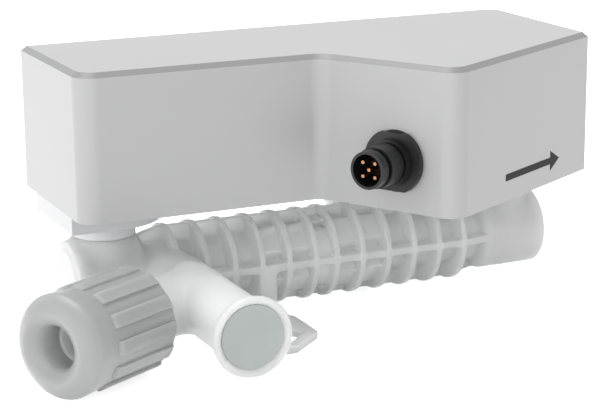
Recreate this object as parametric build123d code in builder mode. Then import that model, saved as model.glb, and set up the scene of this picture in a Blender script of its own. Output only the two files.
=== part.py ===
from build123d import *
import os
from math import cos, radians, sin, tan

# Ultrasonic flow meter for corrosive liquids. A moulded fluoropolymer body carries the
# measuring tube, and a closed housing on top of it carries the electronics.
# Origin: middle of the meter, on the plane that its two feet stand on.
# X runs along the measuring tube, from the inlet end to the outlet end. Z is up.
# The wetted body is the same at both ends, turned half a turn about Z.

os.makedirs("parts", exist_ok=True)

# Driving dimensions, millimetres and degrees
# Measuring tube
axis_height = 15.6          # tube axis above the plane of the feet
bore_r = 4.8                # one bore through the tube, the branches and the ports
tube_wall = 4.3
ring_r = 14.3               # stiffening rings around the measuring tube
ring_width = 1.8
ring_pitch = 8.85
ring_gap = 5.2              # clear width of the pocket in the middle
rings_per_side = 6
ring_edge = 0.4             # rounding of the rings
rib_width = 2.3             # four ribs along the tube
rib_setback = 0.4           # the ribs stay this much inside the rings
rib_end_drop = 2.5          # the ribs slope down by this much at both ends
rib_slope_start = 49.9
pad_height = 1.9            # flat raised floors in the pockets beside the middle
pad_width = 9.0
pads_per_side = 2
middle_height = 2.6         # rounded raised floor of the middle pocket
notch_width = 2.4           # gaps in that floor
notch_angle = 32.0

# Transducer chambers at the two ends of the tube
pocket_r = 10.2
chamber_wall = 2.2
chamber_start = 56.2
chamber_shoulder = 3.0
tube_end_land = 1.8         # the bore runs this far into the chamber
diaphragm = 2.0             # wall that the sound passes through
pocket_depth = 18.1
chamber_edge = 0.5
end_cap_thickness = 2.5     # welded into the mouth of the pocket

# Neck that holds each chamber to the housing
neck_x = 66.4
neck_r = 9.4
neck_flare = 1.8            # the neck grows by this much down to the tube axis
neck_straight = 3.0
neck_step = 13.8            # top of the neck's shoulder above the tube axis
neck_bore_r = 5.2
spigot_wall = 2.0
spigot_end = 1.0            # the spigot stands this far out of its nut
collar_height = 4.9
neck_nut_wall = 3.3
neck_nut_height = 4.5
seal_wire = 1.9             # round rubber seal in each neck

# Branches, closed where the mould core was drawn, and the angled ports
branch_x = 49.0
branch_end = 72.4
rim_height = 2.3
rim_width = 3.0
rim_slope = 2.0
rim_edge = 1.0
disc_r = 9.0                # welded closing disc
disc_thickness = 2.4
disc_recess = 1.0
mouth_chamfer = 1.15        # around the disc, on the inside of the rim
port_angle = 30.0           # flow line, through the middle of the meter
thread_r = 11.3
thread_start = 84.5         # measured along the flow line
thread_end = 101.0
nose_tip_r = 5.8
nose_length = 6.6
nose_cone_angle = 30.0

# Union nuts
nut_rear = 82.2
nut_front = 117.0
nut_wall = 2.6
nut_hole_r = 6.1
nut_clearance = 0.2
nut_flare_gap = 1.8         # room for the flared tube end
nut_nose_length = 11.0
nut_nose_bulge = 0.5
nut_nose_flat = 6.5         # straight stretch between the bars and the rounded nose
nut_crown_r = 10.4          # foremost ring of the nose
nut_dish = 1.6              # the hole's mouth lies this far behind that ring
grip_bars = 12
grip_bar_height = 0.8
grip_bar_width = 3.7

# Fixing feet, one on each side of the measuring tube, measured from the middle
foot_thickness = 2.5
foot_right_x = 14.2
foot_left_x = 35.5
foot_front_y = 46.9
foot_back_y = 21.7
foot_left_y = 38.0
foot_chamfer_y = 37.3
foot_chamfer_x = 25.0
foot_neck_y = 17.5
post_right_x = 16.6
post_width = 5.4
post_front_y = 14.0
post_back_y = 5.5
slot_r = 3.6
slot_x = 25.3
slot_y = 37.5
slot_length = 7.0           # between the centres of its two round ends
slot_angle = 42.0
spot_width = 0.8            # shallow face around the slot for a washer
spot_depth = 0.5

# Housing cover
cover_length = 162.8
cover_depth = 54.5
nose_start = 73.5           # straight front wall before the nose
nose_wall = 46.3            # wall that carries the plug
nose_angle = 60.0
tip_angle = 90.0            # between the two walls of the nose
wall_height = 41.6
top_chamfer = 1.45
front_corner_r = 6.0
back_corner_r = 5.0
cover_wall = 3.0
cover_top = 3.0
lip_wall = 1.5              # thinner wall around the base plate
boss_r = 4.2
boss_inset = 5.6
rib_drop = 6.0              # stiffening ribs under the cover's top
rib_thickness = 1.6
rib_positions = (-60.0, -30.0, 0.0, 30.0, 60.0)

# Base plate
plate_thickness = 3.0
plate_clearance = 0.15
plinth_height = 5.0
plinth_r = 17.0
gasket_height = 1.2
gasket_margin = 0.1
screw_r = 1.5
screw_head_r = 3.0
screw_head_height = 1.8
screw_socket_r = 1.4
screw_length = 12.0
screw_clearance = 0.25

# Circuit board
board_length = 104.0
board_width = 30.0
board_thickness = 1.6
standoff_height = 10.0
standoff_r = 3.2
board_screw_inset = 4.5
board_screw_r = 1.25
board_screw_head_r = 2.4
board_screw_head_height = 1.4
board_screw_length = 6.0
chip_size = 14.0
chip_height = 1.4
chip_x = 8.0
coil_size = 10.0
coil_height = 6.0
coil_edge = 2.0
coil_x = -12.0
coil_y = 6.0
capacitor_r = 3.2
capacitor_height = 9.0
capacitor_pitch = 8.0
capacitor_x = -29.0
capacitor_y = 6.0
cable_header_inset = 9.0
header_size = 6.0
header_height = 6.5
plug_header_length = 14.0
plug_header_shift = 20.95   # from the plug, along the tube

# Round plug with five pins, measured from the outer face of the housing's wall
plug_place = 25.9           # from the housing's inner corner, along the nose wall
plug_rise = 14.8            # above the lower edge of the cover
flange_r = 9.4
flange_thickness = 1.7
flange_flat = 8.4           # half the distance between its two flats
plug_seal_thickness = 0.6
plug_seal_r = 9.0
plug_collar_r = 6.8
plug_collar_end = 4.6
plug_groove_depth = 0.6
plug_groove_width = 0.8
plug_thread_r = 6.0
plug_thread_length = 5.8
plug_neck_width = 1.0
plug_front_r = 5.45
plug_front_width = 2.9
plug_bore_r = 4.65
plug_recess = 9.0
plug_tail_r = 7.9
plug_tail_length = 9.5
plug_nut_flats = 18.0
plug_nut_height = 3.5
insert_tail = 1.5
pin_r = 0.5
pin_spacing = 4.0
pin_length = 8.0            # above the insert's face
pin_tail = 3.0
lead_r = 0.6
lead_bend = 3.0
lead_pitch = 2.5
lead_run_in = 4.0           # straight ends in front of the header

# Transducers
cup_gap = 0.2
cup_wall = 1.4
cup_length = 6.0
cup_face = 1.6
piezo_thickness = 1.6
spacer_wall = 1.7
spacer_slot = 3.0
cable_r = 0.8
cable_exit = 3.6
cable_bend = 3.3

# Clearances
fit_gap = 0.05              # between glued, moulded-in and threaded pieces
weld_gap = 0.05

# Derived sizes
tube_r = bore_r + tube_wall
rib_r = ring_r - rib_setback
rib_end_r = rib_r - rib_end_drop
chamber_r = pocket_r + chamber_wall
bore_end = chamber_start + tube_end_land
pocket_floor = bore_end + diaphragm
body_end = pocket_floor + pocket_depth
cap_seat = body_end - end_cap_thickness
spigot_r = neck_bore_r + spigot_wall
rim_r = tube_r + rim_height
port_start = branch_x / cos(radians(port_angle))
nose_end = thread_end + nose_length
nose_base_r = nose_tip_r + nose_length * tan(radians(nose_cone_angle))
nut_bore_r = thread_r + nut_clearance
nut_r = nut_bore_r + nut_wall
neck_top = axis_height + neck_step
plinth_bottom = neck_top + collar_height
cover_bottom = plinth_bottom + plinth_height
cover_height = wall_height + top_chamfer
plate_top = cover_bottom + plate_thickness
gasket_top = plate_top + gasket_height
spigot_top = plate_top + neck_nut_height + spigot_end
board_bottom = plate_top + standoff_height
board_top = board_bottom + board_thickness
header_middle = board_top + header_height / 2
cable_header_x = board_length / 2 - cable_header_inset
plug_height = cover_bottom + plug_rise
plug_thread_start = plug_collar_end + plug_groove_width
plug_thread_end = plug_thread_start + plug_thread_length
plug_neck_end = plug_thread_end + plug_neck_width
plug_front_end = plug_neck_end + plug_front_width
insert_face = plug_front_end - plug_recess
insert_back = -plug_tail_length - insert_tail
cup_r = pocket_r - cup_gap
cup_bore_r = cup_r - cup_wall
cup_end = pocket_floor + cup_length

# Planes and axes that the pieces share
section = Plane((0, 0, axis_height), x_dir=(1, 0, 0), z_dir=(0, -1, 0))
tube_axis = Axis((0, 0, axis_height), (1, 0, 0))
inlet_end = Plane((0, 0, axis_height), x_dir=(0, -1, 0), z_dir=(-1, 0, 0))
branch_section = Plane((-branch_x, 0, axis_height), x_dir=(0, -1, 0), z_dir=(-1, 0, 0))
branch_axis = Axis((-branch_x, 0, axis_height), (0, -1, 0))
port_out = Vector(-cos(radians(port_angle)), -sin(radians(port_angle)))
port_section = Plane((0, 0, axis_height), x_dir=port_out, z_dir=(port_out.Y, -port_out.X, 0))
port_axis = Axis((0, 0, axis_height), port_out)
port_face = Plane((0, 0, axis_height), x_dir=(port_out.Y, -port_out.X, 0), z_dir=port_out)
upright = (Align.CENTER, Align.CENTER, Align.MIN)
ends = {"inlet": 0, "outlet": 180}


def finish(piece, name):
    """Names a finished sub-part and writes it."""
    piece.part.label = name
    export_step(piece.part, f"parts/{name}.step")


def finish_both(piece, name):
    """Writes a piece of the inlet end, and its copy turned to the outlet end."""
    for end, angle in ends.items():
        with BuildPart() as placed:
            with Locations(Location((0, 0, 0), (0, 0, angle))):
                add(piece.part)
        finish(placed, f"{end}_{name}")


# Housing outline seen from above, from the back left corner towards the front
left = -cover_length / 2
right = cover_length / 2
back = cover_depth / 2
front = -cover_depth / 2
inner_corner = Vector(left + nose_start, front)
wall_direction = Vector(cos(radians(nose_angle)), -sin(radians(nose_angle)))
tip = inner_corner + wall_direction * nose_wall
tip_direction = wall_direction.rotate(Axis.Z, 180 - tip_angle)
right_y = tip.Y + (right - tip.X) * tip_direction.Y / tip_direction.X
outline = (
    Vector(left, back),
    Vector(left, front),
    inner_corner,
    tip,
    Vector(right, right_y),
    Vector(right, back),
)
outward_corners = {1: front_corner_r, 3: front_corner_r, 5: back_corner_r}
inward_corner = outline.index(inner_corner)


def inset_corners(distance):
    """The outline's corners, moved inwards by a distance from both of their walls."""
    corners = []
    for i, corner in enumerate(outline):
        arriving = (corner - outline[i - 1]).normalized().rotate(Axis.Z, 90)
        leaving = (outline[(i + 1) % len(outline)] - corner).normalized().rotate(Axis.Z, 90)
        corners.append(corner + (arriving + leaving) * (distance / (1 + arriving.dot(leaving))))
    return corners


def housing_sketch(height, inset):
    """The housing's outline at a height, inset by a wall, with its corners rounded."""
    corners = inset_corners(inset)
    with BuildSketch(Plane.XY.offset(height)) as sketch:
        with BuildLine():
            Polyline(*corners, close=True)
        make_face()
        for i, radius in outward_corners.items():
            if radius > inset:
                fillet(sketch.vertices().sort_by_distance(corners[i])[0], radius - inset)
        inward = sketch.vertices().sort_by_distance(corners[inward_corner])[0]
        fillet(inward, front_corner_r + inset)
    return sketch.sketch


boss_places = inset_corners(boss_inset)

# Plane of the plug: X along the nose wall, Z out of it
plug_origin = inner_corner + wall_direction * plug_place
plug_out = wall_direction.rotate(Axis.Z, -90)
plug_plane = Plane((plug_origin.X, plug_origin.Y, plug_height), x_dir=wall_direction, z_dir=plug_out)
plug_header_x = plug_origin.X + plug_header_shift

# Cover: one moulded box, open below, with screw bosses and ribs under its top
ceiling = cover_bottom + cover_height - cover_top
with BuildPart() as cover:
    extrude(housing_sketch(cover_bottom, 0), amount=cover_height)
    chamfer(cover.faces().sort_by(Axis.Z)[-1].edges(), top_chamfer)
    extrude(housing_sketch(cover_bottom, cover_wall), amount=ceiling - cover_bottom, mode=Mode.SUBTRACT)
    extrude(housing_sketch(cover_bottom, lip_wall), amount=plate_thickness, mode=Mode.SUBTRACT)
    with BuildSketch(Plane.XY.offset(plate_top)):
        with Locations(*boss_places):
            Circle(boss_r)
    extrude(amount=ceiling - plate_top)
    gasket_room = housing_sketch(plate_top, lip_wall) - housing_sketch(plate_top, cover_wall + 2 * gasket_margin)
    extrude(gasket_room, amount=gasket_height, mode=Mode.SUBTRACT)
    with BuildSketch(Plane.XY.offset(ceiling - rib_drop)):
        with Locations(*((x, 0) for x in rib_positions)):
            Rectangle(rib_thickness, cover_depth - cover_wall)
    extrude(amount=rib_drop)
    with BuildSketch(Plane.XY.offset(plate_top)):
        with Locations(*boss_places):
            Circle(screw_r + fit_gap)
    extrude(amount=screw_length, mode=Mode.SUBTRACT)
    with BuildSketch(plug_plane):
        Circle(plug_tail_r + fit_gap)
    extrude(amount=-cover_wall, mode=Mode.SUBTRACT)
finish(cover, "cover")

# Base plate: closes the housing, with a plinth over each neck and posts for the board
post_x = board_length / 2 - board_screw_inset
post_y = board_width / 2 - board_screw_inset
with BuildPart() as base_plate:
    extrude(housing_sketch(cover_bottom, lip_wall + plate_clearance), amount=plate_thickness)
    with BuildSketch(Plane.XY.offset(plinth_bottom)):
        with Locations((-neck_x, 0), (neck_x, 0)):
            Circle(plinth_r)
        with Locations((-(neck_x + right) / 2, 0), ((neck_x + right) / 2, 0)):
            Rectangle(right - neck_x, 2 * plinth_r)
        Rectangle(cover_length, 2 * plinth_r, mode=Mode.INTERSECT)
    extrude(amount=plinth_height)
    with BuildSketch(Plane.XY.offset(plate_top)):
        with GridLocations(2 * post_x, 2 * post_y, 2, 2):
            Circle(standoff_r)
            Circle(board_screw_r + fit_gap, mode=Mode.SUBTRACT)
    extrude(amount=standoff_height)
    with Locations((-neck_x, 0, plinth_bottom), (neck_x, 0, plinth_bottom)):
        Cylinder(spigot_r + fit_gap, plate_top - plinth_bottom, align=upright, mode=Mode.SUBTRACT)
        Cylinder(spigot_r + seal_wire + fit_gap, seal_wire, align=upright, mode=Mode.SUBTRACT)
    with Locations(*(corner + Vector(0, 0, cover_bottom) for corner in boss_places)):
        Cylinder(screw_r + screw_clearance, plate_thickness, align=upright, mode=Mode.SUBTRACT)
    with Locations(*(corner + Vector(0, 0, plinth_bottom) for corner in boss_places)):
        Cylinder(
            screw_head_r + screw_clearance,
            plinth_height + screw_head_height,
            align=upright,
            mode=Mode.SUBTRACT,
        )
finish(base_plate, "base_plate")

# Gasket between the base plate and the step in the cover's wall
with BuildPart() as cover_gasket:
    extrude(housing_sketch(plate_top, lip_wall + plate_clearance), amount=gasket_height)
    extrude(
        housing_sketch(plate_top, cover_wall + gasket_margin),
        amount=gasket_height,
        mode=Mode.SUBTRACT,
    )
finish(cover_gasket, "cover_gasket")

# Cover screws, put in from below, with a hexagon socket
with BuildPart() as cover_screws:
    with Locations(*(corner + Vector(0, 0, cover_bottom) for corner in boss_places)):
        Cylinder(screw_head_r, screw_head_height, align=upright)
        Cylinder(screw_r, screw_length, align=upright)
    with BuildSketch(Plane.XY.offset(cover_bottom)):
        with Locations(*boss_places):
            RegularPolygon(screw_socket_r, 6)
    extrude(amount=screw_head_height / 2, mode=Mode.SUBTRACT)
finish(cover_screws, "cover_screws")

# Circuit board and what is soldered to it
with BuildPart() as circuit_board:
    with BuildSketch(Plane.XY.offset(board_bottom)):
        Rectangle(board_length, board_width)
        with GridLocations(2 * post_x, 2 * post_y, 2, 2):
            Circle(board_screw_r + fit_gap, mode=Mode.SUBTRACT)
    extrude(amount=board_thickness)
finish(circuit_board, "circuit_board")

with BuildPart() as board_screws:
    with Locations((0, 0, board_top)):
        with GridLocations(2 * post_x, 2 * post_y, 2, 2):
            Cylinder(board_screw_head_r, board_screw_head_height, align=upright)
            Cylinder(board_screw_r, board_screw_length, align=(Align.CENTER, Align.CENTER, Align.MAX))
finish(board_screws, "board_screws")

with BuildPart() as processor_chip:
    with Locations((chip_x, 0, board_top)):
        Box(chip_size, chip_size, chip_height, align=upright)
finish(processor_chip, "processor_chip")

with BuildPart() as power_coil:
    with Locations((coil_x, coil_y, board_top)):
        Box(coil_size, coil_size, coil_height, align=upright)
    fillet(power_coil.edges().filter_by(Axis.Z), coil_edge)
finish(power_coil, "power_coil")

with BuildPart() as board_capacitors:
    with Locations((capacitor_x, capacitor_y, board_top)):
        with GridLocations(capacitor_pitch, capacitor_pitch, 2, 1):
            Cylinder(capacitor_r, capacitor_height, align=upright)
finish(board_capacitors, "board_capacitors")

# Headers: one for each transducer cable, and one for the plug's leads
with BuildPart() as transducer_headers:
    with Locations((-cable_header_x, 0, board_top), (cable_header_x, 0, board_top)):
        Box(header_size, header_size, header_height, align=upright)
finish(transducer_headers, "transducer_headers")

with BuildPart() as plug_header:
    with Locations((plug_header_x, (header_size - board_width) / 2, board_top)):
        Box(plug_header_length, header_size, header_height, align=upright)
finish(plug_header, "plug_header")

# Plug shell: flange, collar and thread outside the wall, threaded tail through it
shell_steps = (
    (plug_tail_r, -plug_tail_length, plug_seal_thickness),
    (plug_collar_r, plug_seal_thickness, plug_collar_end),
    (plug_thread_r - plug_groove_depth, plug_collar_end, plug_thread_start),
    (plug_thread_r, plug_thread_start, plug_thread_end),
    (plug_front_r - plug_groove_depth, plug_thread_end, plug_neck_end),
    (plug_front_r, plug_neck_end, plug_front_end),
)
with BuildPart() as plug_shell:
    for radius, start, end in shell_steps:
        with BuildSketch(plug_plane.offset(start)):
            Circle(radius)
        extrude(amount=end - start)
    with BuildSketch(plug_plane.offset(plug_seal_thickness)):
        Circle(flange_r)
        Rectangle(2 * flange_r, 2 * flange_flat, mode=Mode.INTERSECT)
    extrude(amount=flange_thickness)
    with BuildSketch(plug_plane.offset(-plug_tail_length)):
        Circle(plug_bore_r)
    extrude(amount=plug_tail_length + plug_front_end, mode=Mode.SUBTRACT)
finish(plug_shell, "plug_shell")

with BuildPart() as plug_seal:
    with BuildSketch(plug_plane):
        Circle(plug_seal_r)
        Circle(plug_tail_r + fit_gap, mode=Mode.SUBTRACT)
    extrude(amount=plug_seal_thickness)
finish(plug_seal, "plug_seal")

with BuildPart() as plug_nut:
    with BuildSketch(plug_plane.offset(-cover_wall)):
        RegularPolygon(plug_nut_flats / 2, 6, major_radius=False, rotation=30)
        Circle(plug_tail_r + fit_gap, mode=Mode.SUBTRACT)
    extrude(amount=-plug_nut_height)
finish(plug_nut, "plug_nut")

# Insert that holds the five pins
pin_places = [location.position for location in GridLocations(pin_spacing, pin_spacing, 2, 2)]
pin_places.append(Vector(0, 0))
with BuildPart() as plug_insert:
    with BuildSketch(plug_plane.offset(insert_back)):
        Circle(plug_bore_r - fit_gap)
        with Locations(*pin_places):
            Circle(pin_r, mode=Mode.SUBTRACT)
    extrude(amount=insert_face - insert_back)
finish(plug_insert, "plug_insert")

with BuildPart() as plug_pins:
    with BuildSketch(plug_plane.offset(insert_back - pin_tail)):
        with Locations(*pin_places):
            Circle(pin_r)
    extrude(amount=insert_face + pin_length - insert_back + pin_tail)
finish(plug_pins, "plug_pins")

# Leads from the pins to the front of their header
lead_plane = plug_plane.offset(insert_back - pin_tail)
lead_starts = [lead_plane.from_local_coords(place) for place in pin_places]
lead_starts.sort(key=lambda start: (round(start.X, 3), start.Z))
with BuildPart() as plug_leads:
    for i, start in enumerate(lead_starts):
        goal = Vector(plug_header_x + (i - 2) * lead_pitch, -board_width / 2, header_middle)
        run = (goal.X - start.X) / -plug_out.X
        turn = start - plug_out * run
        with BuildLine() as route:
            FilletPolyline(start, turn, goal - Vector(0, lead_run_in), goal, radius=lead_bend)
        with BuildSketch(Plane(start, z_dir=-plug_out)):
            Circle(lead_r)
        sweep(path=route.wires()[0])
finish(plug_leads, "plug_leads")

# Pieces of the measuring tube, built about the X axis and placed along the tube
with BuildPart() as ring:
    Cylinder(ring_r, ring_width, rotation=(0, 90, 0))
    fillet(ring.edges().filter_by(GeomType.CIRCLE), ring_edge)

rib_end = chamber_start + chamber_shoulder
with BuildPart() as rib:
    with BuildSketch(Plane.XZ):
        with BuildLine():
            Polyline(
                (-rib_end, 0),
                (-rib_end, rib_end_r),
                (-rib_slope_start, rib_r),
                (rib_slope_start, rib_r),
                (rib_end, rib_end_r),
                (rib_end, 0),
                close=True,
            )
        make_face()
    extrude(amount=rib_width / 2, both=True)

with BuildPart() as pad:
    Box(ring_pitch, pad_width, tube_r + pad_height, align=upright)

with BuildPart() as middle_floor:
    with BuildSketch(Plane.YZ):
        Circle(tube_r + middle_height)
        with Locations(*(Location((0, 0), side + notch_angle) for side in (0, 180))):
            Rectangle(notch_width, 4 * ring_r, mode=Mode.SUBTRACT)
        with Locations(*(Location((0, 0), side - notch_angle) for side in (0, 180))):
            Rectangle(notch_width, 4 * ring_r, mode=Mode.SUBTRACT)
        Circle(tube_r)
    extrude(amount=(ring_gap + ring_width) / 2, both=True)

first_ring = (ring_gap + ring_width) / 2
ring_places = []
pad_places = []
for i in range(rings_per_side):
    ring_places += [-first_ring - i * ring_pitch, first_ring + i * ring_pitch]
for i in range(pads_per_side):
    offset_x = first_ring + (i + 0.5) * ring_pitch
    pad_places += [-offset_x, offset_x]

# Solid form of the inlet end: chamber, neck, branch, port and foot
with BuildPart() as end_form:
    with BuildSketch(inlet_end.offset(0)):
        Circle(tube_r)
    extrude(amount=body_end)
    with BuildSketch(section) as chamber_half:
        with Locations((-(chamber_start + body_end) / 2, chamber_r / 2)):
            Rectangle(body_end - chamber_start, chamber_r)
        outer_corners = chamber_half.vertices().group_by(Axis.Y)[-1].sort_by(Axis.X)
        fillet(outer_corners[1], chamber_shoulder)
        fillet(chamber_half.vertices().group_by(Axis.X)[0].sort_by(Axis.Y)[-1], chamber_edge)
    revolve(axis=tube_axis)
    with BuildSketch(Plane((-neck_x, 0, axis_height), x_dir=(1, 0, 0), z_dir=(0, -1, 0))):
        with BuildLine():
            Polyline(
                (0, 0),
                (0, spigot_top - axis_height),
                (spigot_r, spigot_top - axis_height),
                (spigot_r, neck_step),
                (neck_r, neck_step),
                (neck_r, neck_step - neck_straight),
            )
            Spline(
                (neck_r, neck_step - neck_straight),
                (neck_r + neck_flare, 0),
                tangents=((0, -1), (0.5, -1)),
            )
            Line((neck_r + neck_flare, 0), (0, 0))
        make_face()
    revolve(axis=Axis((-neck_x, 0, 0), (0, 0, 1)))
    with BuildSketch(branch_section):
        with BuildLine():
            FilletPolyline(
                (0, tube_r),
                (branch_end - rim_width - rim_slope, tube_r),
                (branch_end - rim_width, rim_r),
                (branch_end, rim_r),
                (branch_end, 0),
                radius=rim_edge,
            )
            Polyline((branch_end, 0), (0, 0), (0, tube_r))
        make_face()
    revolve(axis=branch_axis)
    with BuildSketch(port_section):
        with BuildLine():
            Polyline(
                (port_start, 0),
                (port_start, tube_r),
                (thread_start, tube_r),
                (thread_start, thread_r),
                (thread_end, thread_r),
                (thread_end, nose_base_r),
                (nose_end, nose_tip_r),
                (nose_end, 0),
                close=True,
            )
        make_face()
    revolve(axis=port_axis)
    with BuildSketch(Plane.XY):
        with BuildLine():
            Polyline(
                (-post_right_x, -post_back_y),
                (-post_right_x, -foot_neck_y),
                (-foot_right_x, -foot_back_y),
                (-foot_right_x, -foot_chamfer_y),
                (-foot_chamfer_x, -foot_front_y),
                (-foot_left_x, -foot_front_y),
                (-foot_left_x, -foot_left_y),
                (-post_right_x - post_width, -foot_neck_y),
                (-post_right_x - post_width, -post_back_y),
                close=True,
            )
        make_face()
    extrude(amount=foot_thickness)
    with BuildSketch(Plane.XY):
        with Locations((-post_right_x - post_width / 2, -(post_front_y + post_back_y) / 2)):
            Rectangle(post_width, post_front_y - post_back_y)
    extrude(amount=axis_height)
    for start, grow in ((0, 0), (foot_thickness - spot_depth, spot_width)):
        with BuildSketch(Plane.XY.offset(start)):
            with Locations((-slot_x, -slot_y)):
                SlotCenterToCenter(slot_length, 2 * (slot_r + grow), rotation=slot_angle)
        extrude(amount=foot_thickness - start, mode=Mode.SUBTRACT)

# Every hollow of the inlet end: half of the tube's bore, pocket, branch, port and neck
with BuildPart() as end_hollows:
    for start, end, radius in ((0, bore_end, bore_r), (pocket_floor, body_end, pocket_r)):
        with BuildSketch(inlet_end.offset(start)):
            Circle(radius)
        extrude(amount=end - start)
    branch_face = Plane((-branch_x, 0, axis_height), x_dir=(1, 0, 0), z_dir=(0, -1, 0))
    disc_seat = branch_end - disc_recess - disc_thickness
    for start, radius in ((0, bore_r), (disc_seat, disc_r + weld_gap)):
        with BuildSketch(branch_face.offset(start)):
            Circle(radius)
        extrude(amount=branch_end - start)
    with Locations(branch_face.offset(branch_end - mouth_chamfer)):
        Cone(disc_r + weld_gap, disc_r + weld_gap + mouth_chamfer, mouth_chamfer, align=upright)
    with BuildSketch(port_face.offset(port_start)):
        Circle(bore_r)
    extrude(amount=nose_end - port_start)
    with Locations((-neck_x, 0, axis_height)):
        Cylinder(neck_bore_r, spigot_top - axis_height, align=upright)

# Flow body: one moulding with both ends, the tube, its rings and ribs
with BuildPart() as flow_body:
    with Locations(*(Location((0, 0, 0), (0, 0, angle)) for angle in ends.values())):
        add(end_form.part)
    with Locations(*(Location((0, 0, axis_height), (angle, 0, 0)) for angle in (0, 90, 180, 270))):
        add(rib.part)
    with Locations(*(Location((x, 0, axis_height)) for x in ring_places)):
        add(ring.part)
    with Locations((0, 0, axis_height)):
        add(middle_floor.part)
    for x in pad_places:
        with Locations(*(Location((x, 0, axis_height), (angle, 0, 0)) for angle in (45, 135, 225, 315))):
            add(pad.part)
    with Locations(*(Location((0, 0, 0), (0, 0, angle)) for angle in ends.values())):
        add(end_hollows.part, mode=Mode.SUBTRACT)
finish(flow_body, "flow_body")

# Pieces that both ends have, built at the inlet end
with BuildPart() as end_cap:
    with BuildSketch(inlet_end.offset(cap_seat)):
        Circle(pocket_r - weld_gap)
    extrude(amount=end_cap_thickness)
finish_both(end_cap, "end_cap")

with BuildPart() as branch_plug:
    with BuildSketch(branch_face.offset(disc_seat)):
        Circle(disc_r)
    extrude(amount=disc_thickness)
finish_both(branch_plug, "branch_plug")

with BuildPart() as transducer_cup:
    with BuildSketch(inlet_end.offset(pocket_floor)):
        Circle(cup_r)
    extrude(amount=cup_length)
    with BuildSketch(inlet_end.offset(pocket_floor + cup_face)):
        Circle(cup_bore_r)
    extrude(amount=cup_length - cup_face, mode=Mode.SUBTRACT)
finish_both(transducer_cup, "transducer_cup")

with BuildPart() as piezo_disc:
    with BuildSketch(inlet_end.offset(pocket_floor + cup_face)):
        Circle(cup_bore_r - fit_gap)
    extrude(amount=piezo_thickness)
finish_both(piezo_disc, "piezo_disc")

backing_start = pocket_floor + cup_face + piezo_thickness
with BuildPart() as backing:
    with BuildSketch(inlet_end.offset(backing_start)):
        Circle(cup_bore_r - fit_gap)
    extrude(amount=cup_end - backing_start)
finish_both(backing, "backing")

# Spacer ring between the cup and the end cap, with a slot for the cable at the top
with BuildPart() as spacer:
    with BuildSketch(inlet_end.offset(cup_end)):
        Circle(cup_r)
        Circle(cup_r - spacer_wall, mode=Mode.SUBTRACT)
        with Locations((0, cup_r)):
            Rectangle(spacer_slot, 2 * cup_wall + spacer_wall, mode=Mode.SUBTRACT)
    extrude(amount=cap_seat - cup_end)
finish_both(spacer, "spacer_ring")

cable_x = -(cup_end + cable_exit)
with BuildPart() as cable:
    with BuildLine() as route:
        FilletPolyline(
            (-cup_end, 0, axis_height),
            (cable_x, 0, axis_height),
            (cable_x, 0, header_middle),
            (-cable_header_x - header_size / 2, 0, header_middle),
            radius=cable_bend,
        )
    with BuildSketch(inlet_end.offset(cup_end)):
        Circle(cable_r)
    sweep(path=route.wires()[0])
finish_both(cable, "transducer_cable")

with BuildPart() as neck_collar:
    with Locations((-neck_x, 0, neck_top)):
        Cylinder(neck_r, collar_height, align=upright)
        Cylinder(spigot_r + fit_gap, collar_height, align=upright, mode=Mode.SUBTRACT)
finish_both(neck_collar, "neck_collar")

with BuildPart() as neck_seal:
    with Locations((-neck_x, 0, plinth_bottom + seal_wire / 2)):
        Torus(spigot_r + seal_wire / 2 + fit_gap / 2, seal_wire / 2)
finish_both(neck_seal, "neck_seal")

with BuildPart() as neck_nut:
    with BuildSketch(Plane.XY.offset(plate_top)):
        with Locations((-neck_x, 0)):
            RegularPolygon(spigot_r + neck_nut_wall, 6, major_radius=False, rotation=30)
            Circle(spigot_r + fit_gap, mode=Mode.SUBTRACT)
    extrude(amount=neck_nut_height)
finish_both(neck_nut, "neck_nut")

# Union nut: dished nose, grip bars, threaded bore and a cone that holds a flared tube
cone_lift = nut_flare_gap / cos(radians(nose_cone_angle))
cone_slope = tan(radians(nose_cone_angle))
cone_start = nose_end - (nut_bore_r - nose_tip_r - cone_lift) / cone_slope
cone_end = nose_end - (nut_hole_r - nose_tip_r - cone_lift) / cone_slope
nose_start_at = nut_front - nut_nose_length
nose_r = nut_r + nut_nose_bulge
mouth = nut_front - nut_dish
with BuildPart() as grip:
    with BuildSketch(port_face.offset(nut_rear)):
        with PolarLocations(nut_r, grip_bars):
            Rectangle(4 * grip_bar_height, grip_bar_width)
    extrude(amount=nose_start_at - nut_rear)
    with BuildSketch(port_section):
        with BuildLine():
            Polyline(
                (nut_rear, (nut_bore_r + nut_r) / 2),
                (nut_rear, nut_r),
                (nut_rear + grip_bar_height, nut_r + grip_bar_height),
                (nose_start_at - grip_bar_height, nut_r + grip_bar_height),
                (nose_start_at, nut_r),
                (nose_start_at, (nut_bore_r + nut_r) / 2),
                close=True,
            )
        make_face()
    revolve(axis=port_axis, mode=Mode.INTERSECT)

with BuildPart() as union_nut:
    with BuildSketch(port_section):
        with BuildLine():
            Polyline(
                (mouth, nut_hole_r),
                (cone_end, nut_hole_r),
                (cone_start, nut_bore_r),
                (nut_rear, nut_bore_r),
                (nut_rear, nut_r),
                (nose_start_at, nut_r),
                (nose_start_at + nut_nose_flat, nose_r),
            )
            Spline(
                (nose_start_at + nut_nose_flat, nose_r),
                (nut_front, nut_crown_r),
                (mouth, nut_hole_r),
                tangents=((1, 0.1), (-0.6, -1)),
            )
        make_face()
    revolve(axis=port_axis)
    add(grip.part)
finish_both(union_nut, "nut")
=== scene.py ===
from math import cos, pi, radians, sin, tan

import bpy
import numpy as np
from mathutils import Matrix, Vector


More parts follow.
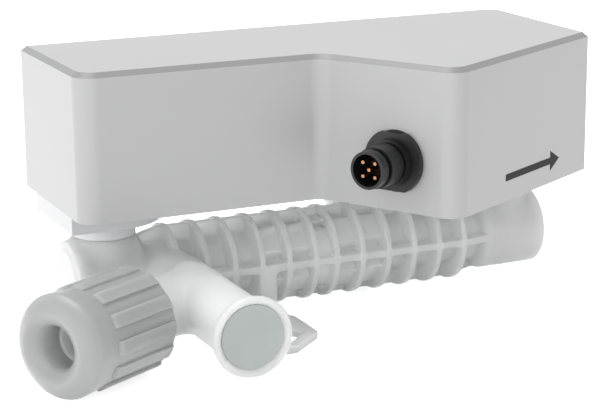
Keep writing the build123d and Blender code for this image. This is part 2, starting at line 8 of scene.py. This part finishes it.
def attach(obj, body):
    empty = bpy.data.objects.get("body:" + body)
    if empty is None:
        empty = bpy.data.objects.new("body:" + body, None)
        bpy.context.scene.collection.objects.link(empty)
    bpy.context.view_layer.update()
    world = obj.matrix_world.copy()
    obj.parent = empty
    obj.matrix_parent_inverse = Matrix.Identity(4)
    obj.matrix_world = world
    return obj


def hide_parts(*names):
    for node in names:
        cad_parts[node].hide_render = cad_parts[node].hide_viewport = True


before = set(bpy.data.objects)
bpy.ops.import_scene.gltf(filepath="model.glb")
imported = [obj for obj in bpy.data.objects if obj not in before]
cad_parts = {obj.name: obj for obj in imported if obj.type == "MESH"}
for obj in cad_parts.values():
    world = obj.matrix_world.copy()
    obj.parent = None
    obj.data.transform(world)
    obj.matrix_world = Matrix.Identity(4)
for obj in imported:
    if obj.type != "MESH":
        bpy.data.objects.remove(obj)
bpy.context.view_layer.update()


# Flow body: one hollow moulding of PFA fluoropolymer, with the measuring tube, its rings and
# ribs, the transducer chambers, necks, branches, ports and feet. The mould gives it rounded
# edges and fillets. The end caps are welded in and dressed flush, so they show no joint.
axis_height = 15.6
tube_r, bore_r = 9.1, 4.8
ring_r, ring_width, first_ring, ring_pitch, ring_count = 14.3, 1.8, 3.5, 8.85, 6
rib_width, rib_r, rib_end_r = 2.3, 13.9, 11.4
rib_slope_start, rib_slope_end = 49.9, 59.2
pad_flat, pad_width, pad_end = 11.0, 9.0, 21.2
floor_r, notch_width, notch_angle = 11.7, 2.4, radians(32)
chamber_r, chamber_start, chamber_end, chamber_shoulder = 12.4, 56.2, 78.1, 3.0
bore_end, pocket_start, pocket_end, pocket_r = 58.0, 60.0, 75.6, 10.2
neck_x, neck_r, neck_low, neck_step, neck_flare = 66.4, 9.4, 2.0, 13.8, 1.8
neck_bore_r, spigot_r, spigot_top = 5.2, 7.2, 32.2
branch_x, branch_end, rim_start, rim_slope, rim_r, rim_edge = 49.0, 72.4, 67.4, 2.0, 11.4, 1.2
disc_seat, disc_r, mouth_start, mouth_r = 69.0, 9.05, 71.25, 10.2
port_angle, port_start, thread_start, thread_end, thread_r = radians(30), 56.6, 84.5, 101.0, 11.3
nose_end, nose_tip_r, nose_angle = 107.6, 5.8, radians(30)
foot_thickness, post_middle, post_half, post_edge = 2.5, (-19.3, -9.75, 8.6), (2.7, 4.25, 7.0), 0.5
foot_outline = (
    (-16.6, -5.5), (-16.6, -17.5), (-14.2, -21.7), (-14.2, -37.3), (-25.0, -46.9),
    (-35.5, -46.9), (-35.5, -38.0), (-22.0, -17.5), (-22.0, -5.5),
)
slot_middle, slot_half, slot_angle, slot_r = (-25.3, -37.5), 3.5, radians(42), 3.6
spot_r, spot_depth = 4.4, 0.5
# Fillets where one form meets the next, and rounded edges. A hollow is cut a little past its end.
chamber_fillet, neck_fillet, rim_fillet, port_fillet, arm_fillet = 2.0, 2.5, 1.5, 3.5, 3.0
rib_fillet, pad_fillet, stiffening_fillet, post_fillet, foot_fillet = 0.7, 0.5, 0.9, 1.2, 1.5
chamber_edge, neck_edge, ring_edge, slot_edge, spot_edge, hollow_edge = 0.6, 0.5, 0.4, 0.3, 0.2, 0.4
past_end = 5.0
voxel, face_limit = 0.42, 190000


def join(a, b, fillet):
    """Joins two solids, given as signed distances, with a fillet."""
    near = np.maximum(fillet - np.abs(a - b), 0) / fillet
    return np.minimum(a, b) - near ** 2 * fillet / 4


def cut(solid, hollow, edge=0.35):
    """Takes a hollow out of a solid, and rounds the edge that this leaves."""
    return -join(-solid, hollow, edge)


def rounded(*reaches, edge):
    """Signed distance to where every reach is below zero, with rounded edges."""
    reaches = [reach + edge for reach in reaches]
    inside = np.minimum(np.maximum.reduce(reaches), 0)
    return inside + np.sqrt(sum(np.maximum(reach, 0) ** 2 for reach in reaches)) - edge


def bar(along, across, start, end, radius, edge=0.3):
    """Signed distance to a round bar, from its coordinates along and across its axis."""
    return rounded(np.abs(along - (start + end) / 2) - (end - start) / 2, across - radius, edge=edge)


def foot_plan(x, y):
    """Signed distance to the outline of a foot, seen from above."""
    nearest, inside = np.full(len(x), 1e9), np.full(len(x), -1.0)
    for (ax, ay), (bx, by) in zip(foot_outline, foot_outline[1:] + foot_outline[:1]):
        ex, ey = bx - ax, by - ay
        share = np.clip(((x - ax) * ex + (y - ay) * ey) / (ex * ex + ey * ey), 0, 1)
        nearest = np.minimum(nearest, np.hypot(x - ax - ex * share, y - ay - ey * share))
        crosses = (ay > y) != (by > y)
        crossing = ax + (y - ay) * ex / (ey if ey else 1)
        inside = np.where(crosses & (x < crossing), -inside, inside)
    return -inside * nearest


def skin(points):
    """Signed distance in mm to the moulding. Its outlet half is the inlet half turned half a turn."""
    turn = np.where(points[:, 0] > 0, -1.0, 1.0)
    x, y, z = points[:, 0] * turn, points[:, 1] * turn, points[:, 2] - axis_height
    around = np.hypot(y, z)
    neck_around = np.hypot(x + neck_x, y)
    branch_across = np.hypot(x + branch_x, z)
    port_along = -(x * cos(port_angle) + y * sin(port_angle))
    port_across = np.hypot(x * sin(port_angle) - y * cos(port_angle), z)

    tube = bar(x, around, -chamber_end, chamber_end, tube_r)
    inner_end = -x < (chamber_start + chamber_end) / 2
    shoulder = np.where(inner_end, chamber_shoulder, chamber_edge)
    chamber = bar(-x, around, chamber_start, chamber_end, chamber_r, shoulder)
    body = join(tube, chamber, chamber_fillet)
    flare = neck_flare * np.clip((neck_step - z) / neck_step, 0, 1) ** 2
    body = join(body, bar(z, neck_around - flare, neck_low, neck_step, neck_r, neck_edge), neck_fillet)
    body = np.minimum(body, bar(z, neck_around, neck_low, spigot_top, spigot_r))

    rise = rim_r - tube_r
    rim_cone = (branch_across - tube_r) * rim_slope + (y + rim_start) * rise
    rim_cone /= np.hypot(rim_slope, rise)
    rim = bar(-y, branch_across, rim_start - 3, branch_end, rim_r, rim_edge)
    rim = -join(-rim, -rim_cone, rim_fillet)
    branch = join(bar(-y, branch_across, 0, branch_end - 1, tube_r), rim, rim_edge)
    port = bar(port_along, port_across, port_start, thread_start + 3, tube_r)
    thread = bar(port_along, port_across, thread_start, thread_end, thread_r)
    arms = join(join(branch, port, port_fillet), thread, pad_fillet)
    nose_cone = port_across - nose_tip_r - (nose_end - port_along) * tan(nose_angle)
    nose = bar(port_along, port_across, thread_start, nose_end, thread_r)
    arms = np.minimum(arms, np.maximum(nose, nose_cone * cos(nose_angle)))
    body = join(body, arms, arm_fillet)

    ring = np.clip(np.round((-x - first_ring) / ring_pitch), 0, ring_count - 1)
    from_ring = x + first_ring + ring * ring_pitch
    rings = bar(from_ring, around, -ring_width / 2, ring_width / 2, ring_r, ring_edge)
    slope = np.clip((-x - rib_slope_start) / (rib_slope_end - rib_slope_start), 0, 1)
    rib_height = rib_r - slope * (rib_r - rib_end_r)
    ribs = [
        rounded(np.abs(side) - rib_width / 2, np.abs(up) - rib_height, -x - rib_slope_end, edge=0.3)
        for side, up in ((y, z), (z, y))
    ]
    stiffening = join(rings, np.minimum(*ribs), rib_fillet)
    for side, up in ((y + z, y - z), (y - z, y + z)):
        flat = rounded(
            np.abs(side) / 2 ** 0.5 - pad_width / 2, np.abs(up) / 2 ** 0.5 - pad_flat,
            -x - pad_end, first_ring + x, edge=0.3,
        )
        stiffening = join(stiffening, flat, pad_fillet)
    notches = np.minimum(*(
        np.abs(y * cos(a) - z * sin(a)) - notch_width / 2 for a in (notch_angle, -notch_angle)
    ))
    floor = cut(bar(x, around, -first_ring, first_ring, floor_r), notches)
    stiffening = join(stiffening, floor, pad_fillet)
    body = join(body, stiffening, stiffening_fillet)

    height = z + axis_height
    plate = rounded(foot_plan(x, y), np.abs(height - foot_thickness / 2) - foot_thickness / 2, edge=0.3)
    reaches = (
        np.abs(at - middle) - half for at, middle, half in zip((x, y, height), post_middle, post_half)
    )
    foot = join(plate, rounded(*reaches, edge=post_edge), post_fillet)
    u = (x - slot_middle[0]) * cos(slot_angle) + (y - slot_middle[1]) * sin(slot_angle)
    v = (y - slot_middle[1]) * cos(slot_angle) - (x - slot_middle[0]) * sin(slot_angle)
    from_slot = np.hypot(np.maximum(np.abs(u) - slot_half, 0), v)
    foot = cut(foot, from_slot - slot_r, slot_edge)
    foot = cut(foot, np.maximum(from_slot - spot_r, foot_thickness - spot_depth - height), spot_edge)
    body = join(body, foot, foot_fillet)

    mouth_slope = (mouth_r - disc_r) / (branch_end - mouth_start)
    mouth = (branch_across - disc_r + (y + mouth_start) * mouth_slope) / np.hypot(1, mouth_slope)
    hollows = (
        bar(x, around, -bore_end, bore_end, bore_r),
        bar(-x, around, pocket_start, pocket_end, pocket_r),
        bar(z, neck_around, 0, spigot_top + past_end, neck_bore_r),
        bar(-y, branch_across, 0, branch_end, bore_r),
        bar(-y, branch_across, disc_seat, branch_end + past_end, disc_r, 0.05),
        np.maximum(mouth, mouth_start + y),
        bar(port_along, port_across, port_start, nose_end + past_end, bore_r),
    )
    return cut(body, np.minimum.reduce(hollows), hollow_edge)


def slope_of(distance, points, step=0.02):
    """Unit direction in which a signed distance grows, from four samples around each point."""
    corners = np.array([(1, 1, 1), (1, -1, -1), (-1, 1, -1), (-1, -1, 1)], float)
    grown = sum(np.outer(distance(points + corner * step), corner) for corner in corners)
    return grown / np.maximum(np.linalg.norm(grown, axis=1, keepdims=True), 1e-9)


def points_of(mesh):
    """A mesh's vertices in millimetres."""
    found = np.empty(len(mesh.vertices) * 3)
    mesh.vertices.foreach_get("co", found)
    return found.reshape(-1, 3) * 1000


def apply_modifiers(piece):
    """Turns a piece's modifiers into its mesh."""
    evaluated = piece.evaluated_get(bpy.context.evaluated_depsgraph_get())
    made = bpy.data.meshes.new_from_object(evaluated)
    piece.modifiers.clear()
    piece.data = made


def new_piece(name, mesh, body, *stands_for):
    """Puts a mesh in the scene as a piece that rides on a body and stands for CAD nodes."""
    piece = bpy.data.objects.new(name, mesh)
    bpy.context.collection.objects.link(piece)
    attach(piece, body)
    if stands_for:
        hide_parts(*stands_for)
    return piece


def settle(mesh, distance, rounds):
    """Moves a mesh's vertices onto the surface where a signed distance is zero."""
    points = points_of(mesh)
    for _ in range(rounds):
        off = distance(points)
        points -= slope_of(distance, points) * np.clip(off, -1, 1)[:, None]
    mesh.vertices.foreach_set("co", (points / 1000).ravel())
    mesh.update()
    return points


rough = bpy.data.meshes.new("flow_body_skin")
cast = [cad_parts[name].data for name in ("flow_body", "inlet_end_cap", "outlet_end_cap")]
corners, sides = [], []
for mesh in cast:
    start = len(corners)
    corners += [tuple(v.co) for v in mesh.vertices]
    sides += [tuple(start + i for i in p.vertices) for p in mesh.polygons]
rough.from_pydata(corners, [], sides)
flow_body = new_piece("flow_body_skin", rough, "meter", "flow_body", "inlet_end_cap", "outlet_end_cap")
remesh = flow_body.modifiers.new("remesh", "REMESH")
remesh.mode, remesh.voxel_size = "VOXEL", voxel / 1000
apply_modifiers(flow_body)
settle(flow_body.data, skin, 2)
relax = flow_body.modifiers.new("relax", "SMOOTH")
relax.factor, relax.iterations = 0.5, 2
apply_modifiers(flow_body)
settle(flow_body.data, skin, 1)
thin = flow_body.modifiers.new("thin", "DECIMATE")
thin.ratio = face_limit / (2 * len(flow_body.data.polygons))
apply_modifiers(flow_body)
points = settle(flow_body.data, skin, 2)
flow_body.data.shade_smooth()
flow_body.data.normals_split_custom_set_from_vertices(slope_of(skin, points).tolist())


def linear(code):
    """An sRGB hex colour as the linear colour that a shader takes."""
    shares = [int(code[i:i + 2], 16) / 255 for i in (1, 3, 5)]
    return [s / 12.92 if s <= 0.04045 else ((s + 0.055) / 1.055) ** 2.4 for s in shares] + [1.0]


def add(tree, kind, sockets={}, **settings):
    """Adds a shader node with its settings, and sets or links its input sockets."""
    made = tree.nodes.new("ShaderNode" + kind)
    for name, value in settings.items():
        setattr(made, name, value)
    for name, value in sockets.items():
        if isinstance(value, bpy.types.NodeSocket):
            tree.links.new(value, made.inputs[name])
        else:
            made.inputs[name].default_value = value
    return made


def per_metre(size):
    """Texture scale at which one feature is this many millimetres."""
    return 1000 / size


def blank(owner):
    """The emptied node tree of a material or world."""
    owner.use_nodes = True
    owner.node_tree.nodes.clear()
    return owner.node_tree


def finish(name, colour, shade, patch, grain, depth, **surface):
    """A material whose colour drifts to a second shade in patches, with a fine grain, sized in mm."""
    made = bpy.data.materials.new(name)
    tree = blank(made)
    place = add(tree, "TexCoord").outputs["Object"]
    drift = add(tree, "TexNoise", {"Vector": place, "Scale": per_metre(patch), "Detail": 2.0})
    tint = add(tree, "ValToRGB", {"Fac": drift.outputs["Fac"]})
    for stop, code, at in zip(tint.color_ramp.elements, (colour, shade), (0.35, 0.7)):
        stop.color, stop.position = linear(code), at
    pits = add(tree, "TexNoise", {"Vector": place, "Scale": per_metre(grain), "Detail": 3.0})
    relief = add(tree, "Bump", {"Height": pits.outputs["Fac"], "Distance": depth / 1000, "Strength": 1.0})
    constants = {socket.replace("_", " "): value for socket, value in surface.items()}
    linked = {"Base Color": tint.outputs["Color"], "Normal": relief.outputs["Normal"]}
    shader = add(tree, "BsdfPrincipled", {**linked, **constants})
    add(tree, "OutputMaterial", {"Surface": shader.outputs["BSDF"]})
    return made


def dress(material, *names):
    """Gives CAD nodes or pieces a material."""
    for name in names:
        mesh = bpy.data.objects[name].data
        mesh.materials.clear()
        mesh.materials.append(material)


# PFA is milky and slightly green, and light goes some millimetres into it. The mould leaves a
# satin skin, with no grain that shows.
pfa = finish(
    "moulded_pfa", "#FAFDFC", "#F7FAF9", 30.0, 0.8, 0.002,
    Roughness=0.28, IOR=1.35, Transmission_Weight=0.25,
    Subsurface_Weight=1.0, Subsurface_Radius=(1.0, 1.0, 1.0), Subsurface_Scale=0.008,
)
dress(pfa, "flow_body_skin")

# Branch discs: turned from PFA rod and welded into the mouths of the branches, a little below
# the rim. Their grey is painted shade: it stands for the shade of the recess they sit in.
pfa_disc_painted_shade = finish(
    "turned_pfa_painted_shade", "#ACB2B0", "#A7ADAB", 12.0, 0.6, 0.003,
    Roughness=0.5, IOR=1.35,
    Subsurface_Weight=0.3, Subsurface_Radius=(1.0, 1.0, 1.0), Subsurface_Scale=0.001,
)


def both(name):
    """The inlet's and the outlet's piece of a name."""
    return f"inlet_{name}", f"outlet_{name}"


dress(pfa_disc_painted_shade, *both("branch_plug"), *both("end_cap"))

# Transducers: a PEEK cup with a piezo disc and a poured backing, held by a spacer ring in each
# chamber, with a cable up through the neck. All of it is closed in. PEEK is a matt tan, the
# fired ceramic is chalky, the resin is dark and a little glossy, and the sleeve is dull black.
peek = finish("moulded_peek", "#C9C2AE", "#BFB8A4", 6.0, 0.5, 0.005, Roughness=0.5)
piezo = finish("fired_piezo_ceramic", "#D8D2C0", "#CEC8B6", 4.0, 0.2, 0.004, Roughness=0.6)
resin = finish("poured_backing_resin", "#6A6A68", "#5C5C5A", 5.0, 0.4, 0.01, Roughness=0.35)
cable_sleeve = finish("extruded_pvc_sleeve", "#3A3B3C", "#333435", 8.0, 0.3, 0.004, Roughness=0.5)
dress(peek, *both("transducer_cup"), *both("spacer_ring"))
dress(piezo, *both("piezo_disc"))
dress(resin, *both("backing"))
dress(cable_sleeve, *both("transducer_cable"), "plug_leads")

# Neck collars and nuts: grey moulded polypropylene rings that clamp the necks to the housing.
# A round rubber seal sits under the base plate in each. The moulded rings have a soft sheen, and
# the rubber is black and dull.
grey_pp = finish("moulded_polypropylene", "#D6D7D8", "#D1D2D3", 15.0, 0.4, 0.004, Roughness=0.45)
rubber = finish("moulded_fkm_rubber", "#232324", "#1D1D1E", 5.0, 0.3, 0.006, Roughness=0.65)
dress(grey_pp, *both("neck_collar"), *both("neck_nut"), "plug_nut")
dress(rubber, *both("neck_seal"), "cover_gasket", "plug_seal")

# Base plate: moulded ABS, with a plinth over each neck and posts for the board. Six turned steel
# screws go up through it into the cover. The plate is satin grey, and the screws are bright.
abs_plate = finish("moulded_abs_plate", "#C8C9CA", "#C4C5C6", 40.0, 0.5, 0.003, Roughness=0.4)
steel = finish(
    "turned_stainless_steel", "#C8C8C6", "#BDBDBB", 3.0, 0.15, 0.002, Roughness=0.3, Metallic=1.0,
)
dress(abs_plate, "base_plate")
dress(steel, "cover_screws", "board_screws")

# Circuit board: glass fibre laminate under glossy green lacquer, and the parts soldered to it.
# The chip and coil are matt black epoxy, the capacitors drawn cans with a metal sheen, and the
# headers cream nylon.
lacquer = finish("lacquered_glass_laminate", "#1F5B38", "#1A5032", 10.0, 0.4, 0.01, Roughness=0.3)
epoxy = finish("moulded_epoxy", "#1E1F21", "#191A1C", 4.0, 0.2, 0.004, Roughness=0.55)
can = finish("drawn_aluminium_can", "#B9BBBD", "#AEB0B2", 4.0, 0.2, 0.002, Roughness=0.35, Metallic=1.0)
nylon = finish("moulded_nylon", "#E4DFCF", "#DBD6C6", 5.0, 0.3, 0.005, Roughness=0.45)
dress(lacquer, "circuit_board")
dress(epoxy, "processor_chip", "power_coil")
dress(can, "board_capacitors")
dress(nylon, "transducer_headers", "plug_header")

# Plug: a black shell moulded in glass-filled nylon, with an insert pressed into it and five
# turned, gold-plated pins. The black is satin and shows soft highlights. The pins look coppery.
black_nylon = finish("moulded_black_nylon", "#0C0D0D", "#0A0A0B", 5.0, 0.25, 0.004, Roughness=0.4)
insert_black = finish("moulded_black_insert", "#0E0E0F", "#0B0B0C", 4.0, 0.25, 0.004, Roughness=0.5)
gold = finish("gold_plated_brass", "#B98A68", "#AF7F5E", 1.0, 0.1, 0.0005, Roughness=0.3, Metallic=1.0)
dress(black_nylon, "plug_shell")
dress(insert_black, "plug_insert")
dress(gold, "plug_pins")

# Cover: the housing's shell, moulded in light grey ABS and screwed on from below. The mould gives
# it a fine satin skin, with a soft highlight along its rounded corners.
abs_cover = finish("moulded_abs", "#AEAEAF", "#ACACAD", 60.0, 0.6, 0.002, Roughness=0.35)
# The chamfer round the top is darker in the photo than both faces that meet at it. It is found by
# its slope, from the part of a unit normal that points up, and above a height in metres.
chamfer_low, chamfer_shade = 0.0775, 0.62
steepest, all_steep, all_flat, flattest = 0.25, 0.4, 0.9, 0.98
tree = abs_cover.node_tree
place = tree.nodes["Texture Coordinate"]
up = add(tree, "SeparateXYZ", {"Vector": place.outputs["Normal"]}).outputs["Z"]
high = add(tree, "SeparateXYZ", {"Vector": place.outputs["Object"]}).outputs["Z"]
strip = add(tree, "Math", {0: high, 1: chamfer_low}, operation="GREATER_THAN").outputs["Value"]
for low, full in ((steepest, all_steep), (flattest, all_flat)):
    part = add(tree, "MapRange", {"Value": up, "From Min": low, "From Max": full})
    strip = add(tree, "Math", {0: strip, 1: part.outputs["Result"]}, operation="MULTIPLY").outputs["Value"]
shader = tree.nodes["Principled BSDF"]
plain = shader.inputs["Base Color"].links[0].from_socket
dull = add(tree, "HueSaturation", {"Value": chamfer_shade, "Fac": strip, "Color": plain})
tree.links.new(dull.outputs["Color"], shader.inputs["Base Color"])
dress(abs_cover, "cover")
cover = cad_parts["cover"]
weld = cover.modifiers.new("weld", "WELD")
weld.merge_threshold = 1e-6
soften = cover.modifiers.new("soften", "BEVEL")
soften.width, soften.segments = 0.0003, 3
soften.limit_method, soften.angle_limit = "ANGLE", radians(30)
level = cover.modifiers.new("level", "WEIGHTED_NORMAL")
level.weight, level.keep_sharp = 100, False

# Flow arrow: pad printed in black ink on the front right wall, low down. It is a film of ink with
# no height that can be felt, so it lies just off the wall. The ink dries matt.
wall_start, wall_end = Vector((15.25, -67.35, 0)), Vector((81.4, -29.15, 0))
arrow_tail, head_start, arrow_tip, arrow_height = 26.96, 53.8, 59.43, 46.25
shaft_half, head_half, ink_lift = 1.05, 3.12, 0.03
along_wall = (wall_end - wall_start).normalized()
off_wall = Vector((along_wall.y, -along_wall.x, 0)) * ink_lift
outline = (
    (arrow_tail, -shaft_half), (head_start, -shaft_half), (head_start, -head_half), (arrow_tip, 0),
    (head_start, head_half), (head_start, shaft_half), (arrow_tail, shaft_half),
)
print_mesh = bpy.data.meshes.new("flow_arrow")
print_corners = [
    (wall_start + along_wall * a + off_wall + Vector((0, 0, arrow_height + h))) / 1000 for a, h in outline
]
print_mesh.from_pydata(print_corners, [], [(0, 1, 5, 6), (1, 2, 3, 4, 5)])
new_piece("flow_arrow", print_mesh, "meter")
ink = finish("printed_ink", "#1A1A1B", "#161617", 3.0, 0.2, 0.001, Roughness=0.8)
dress(ink, "flow_arrow")


# Union nuts: moulded in grey PVDF, with twelve grip bars and a dished nose. Each holds a flared
# tube against the port's cone, and turns on its thread. A small lip leads from the dish into the
# hole.
nut_rear, nut_front, nut_r, nut_bore_r, nut_hole_r = 82.2, 117.0, 14.1, 11.5, 6.1
bar_height, bar_width, bar_count, bars_end = 0.8, 3.7, 12, 106.0
nose_flat, nose_r, crown_r, mouth_at = 112.5, 14.6, 10.4, 115.4
nose_steps, leaving_way, arriving_way = 16, (1, 0.05), (-0.6, -1)
lip = ((0.0, 0.7), (0.2, 0.62), (0.9, 0.1), (1.1, 0.0))
cone_start, cone_end = 101.34, 110.68
rear_round, bore_chamfer, ramp_margin = 0.35, 0.3, 0.2
bar_edge, bar_flat_steps, gap_steps = 0.12, 8, 8
coarse_step, fine_step = 1.2, 0.1


def smooth_run(points, steps, start_way, end_way):
    """Points of a smooth curve through a few points, leaving and arriving in given directions."""
    points = [np.array(p, float) for p in points]
    ways = [np.array(start_way, float)]
    ways += [(after - before) / 2 for before, after in zip(points, points[2:])]
    ways += [np.array(end_way, float)]
    run = []
    for p, q, way_p, way_q in zip(points, points[1:], ways, ways[1:]):
        size = np.linalg.norm(q - p)
        way_p, way_q = (way / np.linalg.norm(way) * size for way in (way_p, way_q))
        for share in np.linspace(0, 1, steps, endpoint=False):
            s2, s3 = share ** 2, share ** 3
            leaving = (2 * s3 - 3 * s2 + 1) * p + (s3 - 2 * s2 + share) * way_p
            run.append(leaving + (3 * s2 - 2 * s3) * q + (s3 - s2) * way_q)
    return run + [points[-1]]


def divided(points, step):
    """The same run of points, with none further apart than a step."""
    run = []
    for p, q in zip(points, points[1:]):
        count = max(1, int(np.ceil(np.linalg.norm(np.subtract(q, p)) / step)))
        run += [np.add(p, np.subtract(q, p) * i / count) for i in range(count)]
    return run + [np.array(points[-1], float)]


def turned(name, profile, origin, way, angles, lift):
    """A closed mesh turned about a level axis, from points along and across it in mm.

    lift gives the height that is added to the radius."""
    rows, steps = len(profile), len(angles)
    way = Vector(way).normalized()
    side = Vector((way.y, -way.x, 0)).normalized()
    up = way.cross(side)
    profile = np.array(profile, float)
    along = np.repeat(profile[:, 0], steps)
    across = np.repeat(profile[:, 1], steps)
    angle = np.tile(angles, rows)
    across = across + lift(along, across, angle)
    points = np.array(origin) + np.outer(along, way)
    points += np.outer(across * np.cos(angle), side) + np.outer(across * np.sin(angle), up)
    faces = []
    for row in range(rows):
        for i in range(steps):
            j, after = (i + 1) % steps, (row + 1) % rows
            faces.append((row * steps + i, row * steps + j, after * steps + j, after * steps + i))
    mesh = bpy.data.meshes.new(name)
    mesh.from_pydata((points / 1000).tolist(), [], faces)
    mesh.shade_smooth()
    mesh.set_sharp_from_angle(angle=radians(38))
    return mesh


def grip_lift(along, across, angle):
    """Height of the grip bars, with chamfered ends and rounded edges."""
    turn = (angle / (2 * pi) * bar_count + 0.5) % 1 - 0.5
    from_middle = np.abs(turn) * 2 * pi / bar_count * nut_r
    edge = np.clip((bar_width / 2 + bar_edge - from_middle) / bar_edge, 0, 1)
    ends = np.clip(np.minimum(along - nut_rear, bars_end - along) / bar_height, 0, 1)
    outside = across > nut_r - 0.3
    return np.where(outside, bar_height * np.minimum(edge, ends), 0)


def barrel_r(along):
    """Radius of the barrel, which widens a little from the bars to the nose."""
    return nut_r + max(0, along - bars_end) / (nose_flat - bars_end) * (nose_r - nut_r)


ramp = bar_height + ramp_margin
rear = [(nut_rear, nut_bore_r + bore_chamfer), (nut_rear, nut_r - rear_round)]
rear += [(nut_rear + 0.1, nut_r - 0.1)]
stations = (nut_rear + rear_round, nut_rear + ramp, bars_end - ramp, bars_end, nose_flat)
places = [a for a, _ in divided([(a, barrel_r(a)) for a in stations], coarse_step)]
places += [*np.arange(bars_end - bar_height - 0.15, bars_end + 0.1, fine_step)]
places += [*np.arange(nut_rear + 0.4, nut_rear + ramp, fine_step)]
barrel = [(a, barrel_r(a)) for a in sorted({round(float(a), 3) for a in places})]
inside = [(mouth_at - depth, nut_hole_r + width) for depth, width in lip]
nose = [(nose_flat, nose_r), (nut_front, crown_r), inside[0]]
nose = smooth_run(nose, nose_steps, leaving_way, arriving_way)
bore = [(cone_end, nut_hole_r), (cone_start, nut_bore_r), (nut_rear + bore_chamfer, nut_bore_r)]
nut_profile = rear + barrel + nose[1:] + inside[1:] + bore
half_gap = pi / bar_count * nut_r
across_bar = np.concatenate((
    np.linspace(-bar_width / 2, bar_width / 2, bar_flat_steps + 1),
    np.linspace(bar_width / 2 + bar_edge, 2 * half_gap - bar_width / 2 - bar_edge, gap_steps + 1),
))
nut_angles = np.concatenate([(across_bar + 2 * half_gap * i) / nut_r for i in range(bar_count)])
# PVDF is greyer and denser than PFA. It lets some light through, and its satin skin softens the
# highlights on the bars and the dish.
pvdf = finish(
    "moulded_pvdf", "#BEBFBF", "#BABBBB", 20.0, 0.5, 0.002,
    Roughness=0.3, IOR=1.42, Transmission_Weight=0.35,
    Subsurface_Weight=1.0, Subsurface_Radius=(1.0, 1.0, 1.0), Subsurface_Scale=0.004,
)
for end, sign in (("inlet", -1), ("outlet", 1)):
    flow_line = (sign * cos(port_angle), sign * sin(port_angle), 0)
    mesh = turned(f"{end}_union_nut", nut_profile, (0, 0, axis_height), flow_line, nut_angles, grip_lift)
    nut = new_piece(f"{end}_union_nut", mesh, f"{end}_nut", f"{end}_nut")
    dress(pvdf, nut.name)


# Studio: a white paper floor that keeps the soft shadow, a white room, and three large soft
# lamps. The low lamp in front lights the flow body under the housing.
aim = Vector((0, 0, 0.04))
floor_half = 6.0


def lamp(name, place, size, power):
    """A square soft lamp that points at the middle of the meter."""
    data = bpy.data.lights.new(name, "AREA")
    data.size, data.energy = size, power
    made = bpy.data.objects.new(name, data)
    bpy.context.collection.objects.link(made)
    made.location = place
    made.rotation_euler = (aim - Vector(place)).to_track_quat("-Z", "Y").to_euler()


lamp("left_lamp", (-1.2, -0.2, 0.3), 0.8, 3.4)
lamp("top_lamp", (-0.2, 0.2, 1.3), 0.9, 10.0)
lamp("low_front_lamp", (-0.65, -1.0, 0.06), 0.9, 5.5)

def show(tree, output, usual, seen):
    """Gives one shader to rays that carry what the camera sees, and the usual one to all others."""
    rays = add(tree, "LightPath")
    share = rays.outputs["Is Camera Ray"]
    for kind in ("Is Glossy Ray", "Is Transmission Ray"):
        share = add(tree, "Math", {0: share, 1: rays.outputs[kind]}, operation="MAXIMUM").outputs["Value"]
    shown = add(tree, "MixShader", {0: share, 1: usual, 2: seen})
    add(tree, output, {"Surface": shown.outputs["Shader"]})


world = bpy.data.worlds.new("studio")
bpy.context.scene.world = world
tree = blank(world)
soft = add(tree, "Background", {"Color": linear("#FFFFFF"), "Strength": 0.72})
white = add(tree, "Background", {"Color": linear("#FFFFFF"), "Strength": 1.0})
show(tree, "OutputWorld", soft.outputs["Background"], white.outputs["Background"])

floor_mesh = bpy.data.meshes.new("floor")
floor_corners = [(floor_half * a, floor_half * b, 0) for a, b in ((-1, -1), (1, -1), (1, 1), (-1, 1))]
floor_mesh.from_pydata(floor_corners, [], [(0, 1, 2, 3)])
studio_floor = bpy.data.objects.new("floor", floor_mesh)
bpy.context.collection.objects.link(studio_floor)
paper = bpy.data.materials.new("white_paper")
tree = blank(paper)
sheet = add(tree, "BsdfDiffuse", {"Color": linear("#FCFCFC")})
lit = add(tree, "Emission", {"Color": linear("#FFFFFF"), "Strength": 0.7})
glowing = add(tree, "AddShader", {0: sheet.outputs["BSDF"], 1: lit.outputs["Emission"]})
show(tree, "OutputMaterial", sheet.outputs["BSDF"], glowing.outputs["Shader"])
floor_mesh.materials.append(paper)

camera_place = Vector((-0.23716, -0.52053, 0.17673))
yaw, pitch, roll = 0.423167, 0.251483, -0.0088929
ahead = Vector((sin(yaw) * cos(pitch), cos(yaw) * cos(pitch), -sin(pitch)))
rightward = Vector((cos(yaw), -sin(yaw), 0))
upward = rightward.cross(ahead)
camera_data = bpy.data.cameras.new("camera")
camera_data.lens, camera_data.sensor_width = 114.53, 36
camera = bpy.data.objects.new("camera", camera_data)
bpy.context.collection.objects.link(camera)
turned_axes = Matrix((
    cos(roll) * rightward + sin(roll) * upward,
    cos(roll) * upward - sin(roll) * rightward,
    -ahead,
)).transposed()
camera.matrix_world = Matrix.Translation(camera_place) @ turned_axes.to_4x4()
bpy.context.scene.camera = camera

bpy.context.scene.view_settings.view_transform = "Standard"
